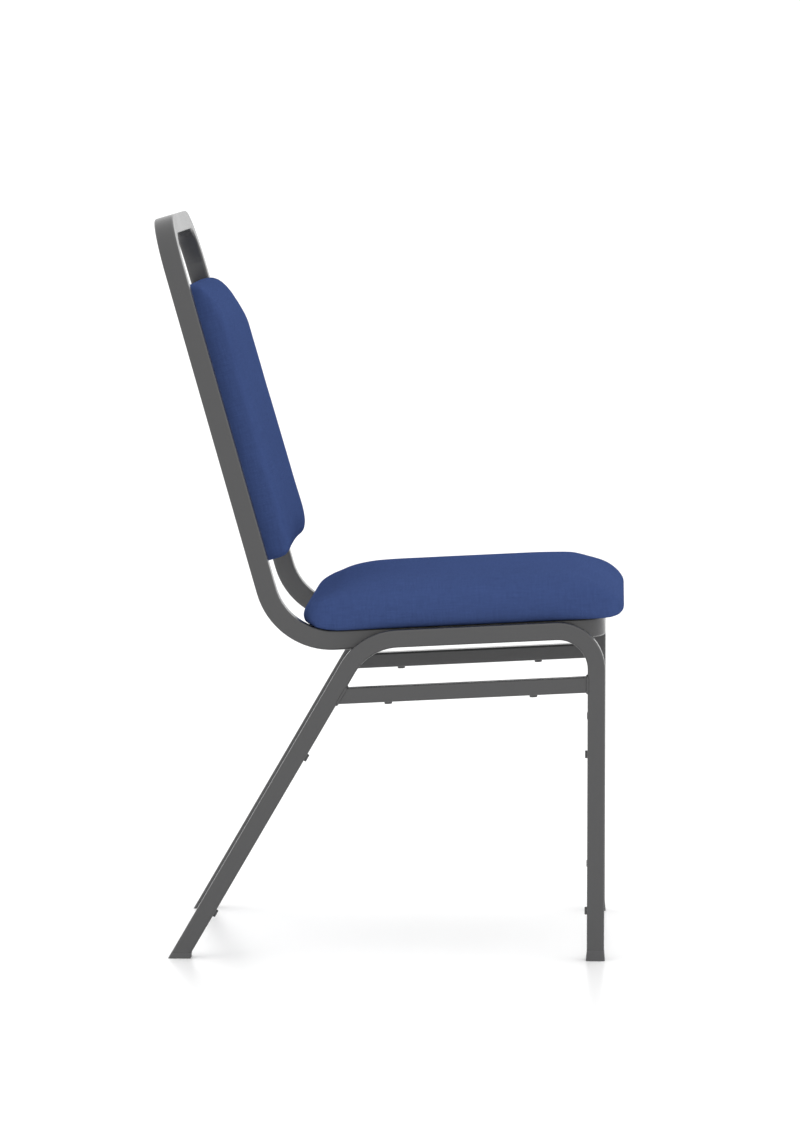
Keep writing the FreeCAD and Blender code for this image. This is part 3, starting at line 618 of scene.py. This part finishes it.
# ---------------------------------------------------------------- seat pad
class CHAIR_OT_seat_pad(bpy.types.Operator):
    """Upholstered seat pad: a foam blank with a long front slope, swollen into its cover"""
    bl_idname = "chair.seat_pad"
    bl_label = "Seat pad"

    def execute(self, context):
        settings = context.scene.chair_pads
        half = SEAT_HALF - settings.swell * 0.5
        front = SEAT_FRONT - SEAT_EASE
        rear = SEAT_REAR + SEAT_EASE
        top = SEAT_TOP - settings.swell * 0.5
        wide = half + CUTTER_REACH
        pad = block("seat_pad", (-wide, front, SEAT_UNDER), (wide, rear, top))
        round_corner(pad, 0, (-1, 1), *FRONT_FALL, 20)
        round_corner(pad, 0, (1, 1), *REAR_FALL, 20)
        across = block("seat_pad_across", (-half, front - CUTTER_REACH, SEAT_UNDER),
                       (half, rear + CUTTER_REACH, top))
        for side in (-1, 1):
            round_corner(across, 1, (side, 1), *SIDE_FALL, 14)
        plan = block("seat_pad_plan", (-half, front, SEAT_UNDER),
                     (half, rear, top + CUTTER_REACH))
        for side in (-1, 1):
            for end in (-1, 1):
                round_corner(plan, 2, (side, end), PLAN_ROUND, PLAN_ROUND, 12)
        intersect(pad, [across, plan])
        remesh(pad, SEAT_VOXEL, 24)
        self.seat_on_rails(pad)
        remesh(pad, SEAT_VOXEL, 2)
        self.raise_crown(pad)
        inflate(pad, self.on_rails, settings.swell)
        self.seat_on_rails(pad)
        subdivide(pad)
        self.seat_on_rails(pad)
        place(pad, SEAT_FRAME)
        finish_piece(pad, "blue_fabric",
                     upholstery("Seat cloth", settings.cloth, settings.thread_pitch,
                                (-RISE, 0.0, 0.0)),
                     "seat_foam", "seat_cover")
        return {"FINISHED"}

    @staticmethod
    def on_rails(co):
        """True where the underside rests on the rails or their rear bends."""
        run = co.y - BEND_START
        rise = co.z - BEND_INSIDE
        return co.z < 0.001 or (run > 0.0 > rise
                                and math.hypot(run, rise) > BEND_INSIDE - 0.001)

    @staticmethod
    def raise_crown(pad):
        """Lift the middle of the top over its sides and ends."""
        for vertex in pad.data.vertices:
            co = vertex.co
            across = 1.0 - (co.x / SEAT_HALF) ** 2
            along = falloff(co.y, SEAT_FRONT, 0.09) * (1.0 - falloff(co.y, 0.24, SEAT_REAR))
            co.z += SEAT_CROWN * max(across, 0.0) * along * falloff(co.z, 0.02, SEAT_TOP)

    @staticmethod
    def seat_on_rails(pad):
        """Press the underside flat on the rails, inside their rear bends, and round its nose."""
        for vertex in pad.data.vertices:
            co = vertex.co
            sag = OVERHANG_SAG * falloff(abs(co.x), RAIL_OUTSIDE, RAIL_OUTSIDE + 0.003)
            co.z = max(co.z, -sag)
            run = co.y - BEND_START
            rise = co.z - BEND_INSIDE
            reach = math.hypot(run, rise)
            if run > 0.0 and rise < 0.0 and reach > BEND_INSIDE:
                co.y = BEND_START + run * BEND_INSIDE / reach
                co.z = BEND_INSIDE + rise * BEND_INSIDE / reach
            run = co.y - SEAT_FRONT - NOSE
            rise = co.z - NOSE
            reach = math.hypot(run, rise)
            if run < 0.0 and rise < 0.0 and reach > NOSE:
                co.y = SEAT_FRONT + NOSE + run * NOSE / reach
                co.z = NOSE + rise * NOSE / reach
        pad.data.update()


# ---------------------------------------------------------------- back pad
def round_outline(obj, radius):
    """Round the four corners that the back's outline shows from the front."""
    for side in (-1, 1):
        for end in (1, -1):
            round_corner(obj, 1, (side, end), radius, radius, 8)


class CHAIR_OT_back_pad(bpy.types.Operator):
    """Upholstered back pad held between the uprights"""
    bl_idname = "chair.back_pad"
    bl_label = "Back pad"

    def execute(self, context):
        settings = context.scene.chair_pads
        low = BACK_LOW - BACK_EASE
        high = BACK_HIGH + BACK_EASE
        front = BACK_FRONT + settings.swell * 0.2
        inset = UPRIGHT_CLEAR + 0.001
        half = between_uprights(BACK_LOW) - inset
        ratio = (between_uprights(BACK_HIGH) - inset) / half
        pad = block("back_pad", (-BACK_WIDE, front, low), (BACK_WIDE, BACK_REAR, high))
        round_corner(pad, 0, (-1, 1), *BROW, 16)
        round_corner(pad, 0, (-1, -1), LIP, LIP, 8)
        outline = block("back_pad_outline", (-half, BACK_CUTTER[0], low),
                        (half, BACK_CUTTER[1], high))
        narrow_top(outline, ratio)
        round_outline(outline, OUTLINE_ROUND)
        plan = block("back_pad_plan", (-half, front, low - CUTTER_REACH),
                     (half, BACK_REAR, high + CUTTER_REACH))
        narrow_top(plan, ratio)
        for side in (-1, 1):
            round_corner(plan, 2, (side, -1), *SIDE_ROUND, 6)
        intersect(pad, [outline, plan])
        remesh(pad, BACK_VOXEL, 3)
        self.arch_bottom(pad)
        inflate(pad, lambda co: co.y > BACK_REAR - 0.0015, settings.swell)
        self.hold(pad)
        subdivide(pad)
        self.hold(pad)
        place(pad, BACK_FRAME)
        finish_piece(pad, "blue_fabric",
                     upholstery("Back cloth", settings.cloth, settings.thread_pitch,
                                (-BACK_LEAN, 0.0, 0.0)),
                     "back_foam", "back_cover")
        return {"FINISHED"}

    @staticmethod
    def arch_bottom(pad):
        """Lift the middle of the lower edge."""
        for vertex in pad.data.vertices:
            co = vertex.co
            across = max(1.0 - (co.x / 0.17) ** 2, 0.0)
            co.z += BACK_ARCH * across * (1.0 - falloff(co.z, BACK_LOW, BACK_LOW + 0.08))

    @staticmethod
    def hold(pad):
        """Keep the sides clear of the uprights and the rear flat on its board."""
        for vertex in pad.data.vertices:
            co = vertex.co
            limit = between_uprights(co.z) - UPRIGHT_CLEAR
            co.x = min(max(co.x, -limit), limit)
            co.y = min(co.y, BACK_REAR)
        pad.data.update()


# ---------------------------------------------------------------- rear panel
class CHAIR_OT_rear_panel(bpy.types.Operator):
    """Covered panel that closes the back pad from behind"""
    bl_idname = "chair.rear_panel"
    bl_label = "Rear panel"

    def execute(self, context):
        settings = context.scene.chair_pads
        half = between_uprights(BACK_LOW) - PANEL_CLEAR
        ratio = (between_uprights(BACK_HIGH) - PANEL_CLEAR) / half
        panel = block("rear_panel", (-half, PANEL_FRONT, BACK_LOW), (half, PANEL_REAR, BACK_HIGH))
        narrow_top(panel, ratio)
        round_outline(panel, PANEL_ROUND)
        make_active(panel)
        bpy.ops.object.mode_set(mode="EDIT")
        pick(panel, "edges", lambda edge: len(edge.link_faces) == 2
             and edge.calc_face_angle(0.0) > math.radians(60.0)
             and min(v.co.y for v in edge.verts) > PANEL_REAR - 0.0005)
        bpy.ops.mesh.bevel(offset=PANEL_EDGE, segments=4, profile=0.5, affect="EDGES")
        pick(panel, "faces", lambda face: face.normal.y > 0.99 and face.calc_area() > 0.01)
        bpy.ops.mesh.inset(thickness=0.008, depth=0.0)
        bpy.ops.transform.translate(value=(0.0, 0.0005, 0.0))
        bpy.ops.object.mode_set(mode="OBJECT")
        make_active(panel)
        bpy.ops.object.shade_smooth_by_angle(angle=math.radians(40.0))
        place(panel, BACK_FRAME)
        finish_piece(panel, "blue_fabric",
                     upholstery("Rear cloth", settings.cloth, settings.thread_pitch,
                                (-BACK_LEAN, 0.0, 0.0)),
                     "back_rear_panel")
        return {"FINISHED"}


# ---------------------------------------------------------------- weld beads
LEG_X = 0.209                # centres of the tubes across the chair
HOOP_X = 0.1855
LEG_TUBE = 0.022
STRETCHER = 0.020
CROSS_TUBE = 0.020
HOOP_TUBE = 0.025
TUBE_CORNER = 0.003
FRONT_LEG_Y = -0.2669        # centre line of the front legs
REAR_LEAN = math.radians(30.2)
QUARTER = math.radians(90.0)
HOOP_JOINT = 0.052           # the rails' butt weld, along the seat frame
RAIL_STITCHES = (0.085, 0.175, 0.262)                 # leg frame to hoop
TAB_STITCHES = (0.070, BEND_START - 0.100)            # seat tabs to hoop
STITCH_LENGTH = 0.030
RAIL_STITCH = (0.1980, -0.0224)                       # across and up
TAB_STITCH = (0.1725, -0.0042)
STRETCHER_END = (0.0556, 0.3364)                      # back and up, on the rear leg
RIPPLE = 0.82                # every second ring of a bead is this much thinner


def ring_bead(name, width, height, corner, radius):
    """A rippled bead round a tube's end, in the XY plane about the origin."""
    clear_selection()
    bpy.ops.mesh.primitive_plane_add(size=1.0, location=(0.0, 0.0, 0.0))
    ring = bpy.context.active_object
    ring.name = name
    bpy.ops.object.mode_set(mode="EDIT")
    bpy.ops.mesh.select_all(action="SELECT")
    bpy.ops.transform.resize(value=(width, height, 1.0), center_override=(0.0, 0.0, 0.0))
    bpy.ops.mesh.bevel(offset=corner, segments=4, affect="VERTICES")
    bpy.ops.mesh.select_all(action="SELECT")
    bpy.ops.mesh.delete(type="ONLY_FACE")
    pick(ring, "edges", lambda edge: edge.calc_length() > 3.0 * corner)
    bpy.ops.mesh.subdivide(number_cuts=11)
    bpy.ops.object.mode_set(mode="OBJECT")
    bpy.ops.object.convert(target="CURVE")
    ring.data.dimensions = "3D"
    ring.data.bevel_depth = radius
    ring.data.bevel_resolution = 2
    for spline in ring.data.splines:
        for number, point in enumerate(spline.points):
            point.radius = 1.0 if number % 2 else RIPPLE
    make_active(ring)
    bpy.ops.object.convert(target="MESH")
    bpy.ops.object.mode_set(mode="EDIT")
    bpy.ops.mesh.select_all(action="SELECT")
    bpy.ops.mesh.remove_doubles(threshold=0.00001)
    bpy.ops.mesh.normals_make_consistent(inside=False)
    bpy.ops.object.mode_set(mode="OBJECT")
    bpy.ops.object.shade_smooth()
    return ring


def line_bead(name, length, radius):
    """A rippled bead along X about the origin, drawn out ring by ring and closed."""
    steps = max(6, round(length / (1.3 * radius)))
    clear_selection()
    bpy.ops.mesh.primitive_circle_add(
        vertices=10, radius=radius, fill_type="NGON",
        location=(-length / 2.0, 0.0, 0.0), rotation=(0.0, QUARTER, 0.0))
    bead = bpy.context.active_object
    bead.name = name
    bpy.ops.object.transform_apply(location=True, rotation=True, scale=True)
    bpy.ops.object.mode_set(mode="EDIT")
    bpy.ops.mesh.select_all(action="SELECT")
    start = -length / 2.0
    bpy.ops.transform.resize(value=(1.0, 0.35, 0.35), center_override=(start, 0.0, 0.0))
    sizes = [0.35, 0.8] + [1.0 if n % 2 else RIPPLE for n in range(steps - 3)] + [0.8, 0.35]
    step = length / (len(sizes) - 1)
    for last, size in zip(sizes, sizes[1:]):
        start += step
        grow = size / last
        bpy.ops.mesh.extrude_region_move(TRANSFORM_OT_translate={"value": (step, 0.0, 0.0)})
        bpy.ops.transform.resize(value=(1.0, grow, grow), center_override=(start, 0.0, 0.0))
    bpy.ops.mesh.select_all(action="SELECT")
    bpy.ops.mesh.normals_make_consistent(inside=False)
    bpy.ops.object.mode_set(mode="OBJECT")
    bpy.ops.object.shade_smooth()
    return bead


def copied(obj, name, matrix):
    """A copy with its own mesh, moved to its place."""
    twin = obj.copy()
    twin.data = obj.data.copy()
    twin.name = name
    bpy.context.scene.collection.objects.link(twin)
    place(twin, matrix)
    return twin


class CHAIR_OT_weld_beads(bpy.types.Operator):
    """Weld beads where the tubes and the fixing tabs are joined"""
    bl_idname = "chair.weld_beads"
    bl_label = "Weld beads"

    def execute(self, context):
        radius = context.scene.chair_frame.bead_width / 2.0
        beads = []
        stretcher = ring_bead("stretcher_bead", STRETCHER, STRETCHER, TUBE_CORNER, radius)
        cross = ring_bead("cross_bead", CROSS_TUBE, CROSS_TUBE, TUBE_CORNER, radius)
        butt = ring_bead("butt_bead", HOOP_TUBE, HOOP_TUBE, TUBE_CORNER, radius * 0.5)
        stitch = line_bead("stitch_bead", STITCH_LENGTH, radius)
        for side, sign in (("right", -1.0), ("left", 1.0)):
            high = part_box("side_stretcher_" + side)[1]
            front = Matrix.Translation((sign * LEG_X, FRONT_LEG_Y + LEG_TUBE / 2.0,
                                        high.z - STRETCHER / 2.0))
            front = front @ Matrix.Rotation(QUARTER, 4, "X")
            beads.append(copied(stretcher, "weld_stretcher_front_" + side, front))
            beads.append(copied(stretcher, "weld_stretcher_rear_" + side,
                                self.rear_end(sign)))
            low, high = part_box("seat_cross_rail")
            end = Matrix.Translation((sign * high.x, (low.y + high.y) / 2.0,
                                      (low.z + high.z) / 2.0))
            end = end @ Matrix.Rotation(-RISE, 4, "X") @ Matrix.Rotation(QUARTER, 4, "Y")
            beads.append(copied(cross, "weld_cross_rail_" + side, end))
            joint = (SEAT_FRAME
                     @ Matrix.Translation((sign * HOOP_X, HOOP_JOINT, -HOOP_TUBE / 2.0))
                     @ Matrix.Rotation(QUARTER, 4, "X"))
            beads.append(copied(butt, "weld_front_rail_" + side, joint))
            for number, run in enumerate(RAIL_STITCHES):
                under = (SEAT_FRAME
                         @ Matrix.Translation((sign * RAIL_STITCH[0], run, RAIL_STITCH[1]))
                         @ Matrix.Rotation(QUARTER, 4, "Z")
                         @ Matrix.Scale(0.7, 4, (0.0, 0.0, 1.0)))
                beads.append(copied(stitch, "weld_rail_%d_%s" % (number, side), under))
            for number, run in enumerate(TAB_STITCHES):
                under = (SEAT_FRAME
                         @ Matrix.Translation((sign * TAB_STITCH[0], run, TAB_STITCH[1]))
                         @ Matrix.Rotation(QUARTER, 4, "Z")
                         @ Matrix.Scale(0.55, 4))
                beads.append(copied(stitch, "weld_seat_tab_%d_%s" % (number, side), under))
        for pattern in (stretcher, cross, butt, stitch):
            bpy.data.objects.remove(pattern)
        paint = powder_coat(context)
        for bead in beads:
            finish_piece(bead, "frame_paint", paint)
        return {"FINISHED"}

    @staticmethod
    def rear_end(sign):
        """Place of the bead round the stretcher's rear end, on the leaning leg."""
        lean = Matrix.Rotation(QUARTER + REAR_LEAN, 4, "X")
        longer = 1.0 / math.cos(REAR_LEAN + RISE)
        return (Matrix.Translation((sign * LEG_X, *STRETCHER_END)) @ lean
                @ Matrix.Scale(longer, 4, (0.0, 1.0, 0.0)))


# ---------------------------------------------------------------- finishes
TUBES = ("back_hoop", "seat_front_rail", "seat_cross_rail", "leg_frame_right",
         "leg_frame_left", "side_stretcher_right", "side_stretcher_left",
         "seat_fixing_tabs", "back_fixing_tabs")
BOARDS = ("seat_board", "back_board")
HARDWARE = ("seat_washers", "seat_screws", "seat_tee_nuts", "back_screws", "back_tee_nuts")
FOAMS = ("seat_foam", "back_foam")
CLOTHS = ("seat_cover", "back_cover", "back_rear_panel")


class CHAIR_OT_finishes(bpy.types.Operator):
    """Paint, plastic, plate, plywood and cloth for the parts that keep their shape"""
    bl_idname = "chair.finishes"
    bl_label = "Finishes"

    def execute(self, context):
        pads = context.scene.chair_pads
        paint = powder_coat(context)
        moulded = grained("Moulded plastic", SLOT_COLOURS["black_plastic"], 0.42, 700.0,
                          tint=0.1, spread_of=0.12, depth=0.00004)
        plated = grained("Zinc plate", SLOT_COLOURS["zinc_steel"], 0.32, 500.0,
                         metallic=1.0, tint=0.12, spread_of=0.2)
        foam = grained("Foam", SLOT_COLOURS["foam"], 0.9, 1500.0, tint=0.1, depth=0.0003)
        cloth = upholstery("Plain cloth", pads.cloth, pads.thread_pitch, (0.0, 0.0, 0.0))
        dust = upholstery("Dust cloth", SLOT_COLOURS["dust_cloth"], 0.0008, (-RISE, 0.0, 0.0))
        wood = plywood_finish("Birch plywood", SLOT_COLOURS["plywood"])
        for name, node in NODES.items():
            if name in TUBES:
                material = paint
            elif name in BOARDS:
                material = wood
            elif name in HARDWARE:
                material = plated
            elif name in FOAMS:
                material = foam
            elif name in CLOTHS:
                material = cloth
            elif name == "seat_dust_cover":
                material = dust
            else:
                material = moulded
            node.data.materials.clear()
            node.data.materials.append(material)
        return {"FINISHED"}


def powder_coat(context):
    """The tubes' paint, made once."""
    settings = context.scene.chair_frame
    return bpy.data.materials.get("Powder coat") or grained(
        "Powder coat", settings.paint, settings.paint_roughness, 1300.0,
        tint=0.06, spread_of=0.10, depth=0.00003)


# ---------------------------------------------------------------- stage
FLOOR_SIZE = 60.0
FLOOR_WHITE = (0.98, 0.98, 0.98, 1.0)
SKY_STRENGTH = 1.25
MIDDLE = Vector((0.0, -0.010, 0.479))    # what the camera looks at
# Each softbox: name, place, target, side and watts.
SOFTBOXES = (("light_front", (-1.2, -3.2, 1.9), (0.0, 0.0, 0.45), 2.6, 5.0),
             ("light_top", (0.3, -0.4, 3.4), (0.0, 0.0, 0.4), 2.4, 2.0))


class CHAIR_OT_stage(bpy.types.Operator):
    """White floor, soft studio light and the camera"""
    bl_idname = "chair.stage"
    bl_label = "Stage"

    def execute(self, context):
        settings = context.scene.chair_stage
        scene = context.scene
        scene.view_settings.view_transform = "Standard"
        clear_selection()
        bpy.ops.mesh.primitive_plane_add(size=FLOOR_SIZE, location=(0.0, 0.0, 0.0))
        floor = bpy.context.active_object
        floor.name = "studio_floor"
        material, tree, shader = new_material("Studio floor")
        tint = noise(tree, object_position(tree), 0.7)
        tree.links.new(spread(tree, tint, 0.26, 0.30), shader.inputs["Roughness"])
        shader.inputs["Base Color"].default_value = FLOOR_WHITE
        shader.inputs["Specular IOR Level"].default_value = 0.12
        floor.data.materials.append(material)
        world = bpy.data.worlds.new("Studio")
        world.use_nodes = True
        sky = world.node_tree.nodes["Background"]
        sky.inputs["Color"].default_value = (1.0, 1.0, 1.0, 1.0)
        sky.inputs["Strength"].default_value = SKY_STRENGTH
        scene.world = world
        for softbox in SOFTBOXES:
            self.soft_light(*softbox)
        azimuth = settings.azimuth
        elevation = settings.elevation
        away = Vector((math.sin(azimuth) * math.cos(elevation),
                       -math.cos(azimuth) * math.cos(elevation), math.sin(elevation)))
        data = bpy.data.cameras.new("camera")
        data.lens = settings.lens
        data.clip_end = 100.0
        camera = bpy.data.objects.new("camera", data)
        scene.collection.objects.link(camera)
        camera.location = MIDDLE + away * settings.distance
        camera.rotation_euler = (-away).to_track_quat("-Z", "Y").to_euler()
        scene.camera = camera
        return {"FINISHED"}

    @staticmethod
    def soft_light(name, place_at, target, size, power):
        """A square softbox that faces a point."""
        data = bpy.data.lights.new(name, "AREA")
        data.size = size
        data.energy = power
        light = bpy.data.objects.new(name, data)
        bpy.context.scene.collection.objects.link(light)
        light.location = place_at
        aim = Vector(target) - Vector(place_at)
        light.rotation_euler = aim.to_track_quat("-Z", "Y").to_euler()


# ---------------------------------------------------------------- panel and start
class CHAIR_PT_build(bpy.types.Panel):
    """The chair's pieces in the sidebar"""
    bl_idname = "CHAIR_PT_build"
    bl_label = "Stacking chair"
    bl_space_type = "VIEW_3D"
    bl_region_type = "UI"
    bl_category = "Chair"

    def draw(self, context):
        layout = self.layout
        for group in ("chair_frame", "chair_pads", "chair_stage"):
            settings = getattr(context.scene, group)
            for name in settings.__annotations__:
                layout.prop(settings, name)
        for operator in OPERATORS:
            layout.operator(operator.bl_idname)


OPERATORS = (CHAIR_OT_seat_pad, CHAIR_OT_back_pad, CHAIR_OT_rear_panel,
             CHAIR_OT_weld_beads, CHAIR_OT_finishes, CHAIR_OT_stage)
CLASSES = (FrameSettings, PadSettings, StageSettings) + OPERATORS + (CHAIR_PT_build,)


def register():
    for item in CLASSES:
        bpy.utils.register_class(item)
    bpy.types.Scene.chair_frame = PointerProperty(type=FrameSettings)
    bpy.types.Scene.chair_pads = PointerProperty(type=PadSettings)
    bpy.types.Scene.chair_stage = PointerProperty(type=StageSettings)


def unregister():
    del bpy.types.Scene.chair_stage
    del bpy.types.Scene.chair_pads
    del bpy.types.Scene.chair_frame
    for item in reversed(CLASSES):
        bpy.utils.unregister_class(item)


def main():
    """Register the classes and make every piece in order."""
    register()
    bpy.ops.chair.seat_pad()
    bpy.ops.chair.back_pad()
    bpy.ops.chair.rear_panel()
    bpy.ops.chair.weld_beads()
    bpy.ops.chair.finishes()
    bpy.ops.chair.stage()


if __name__ == "__main__":
    main()
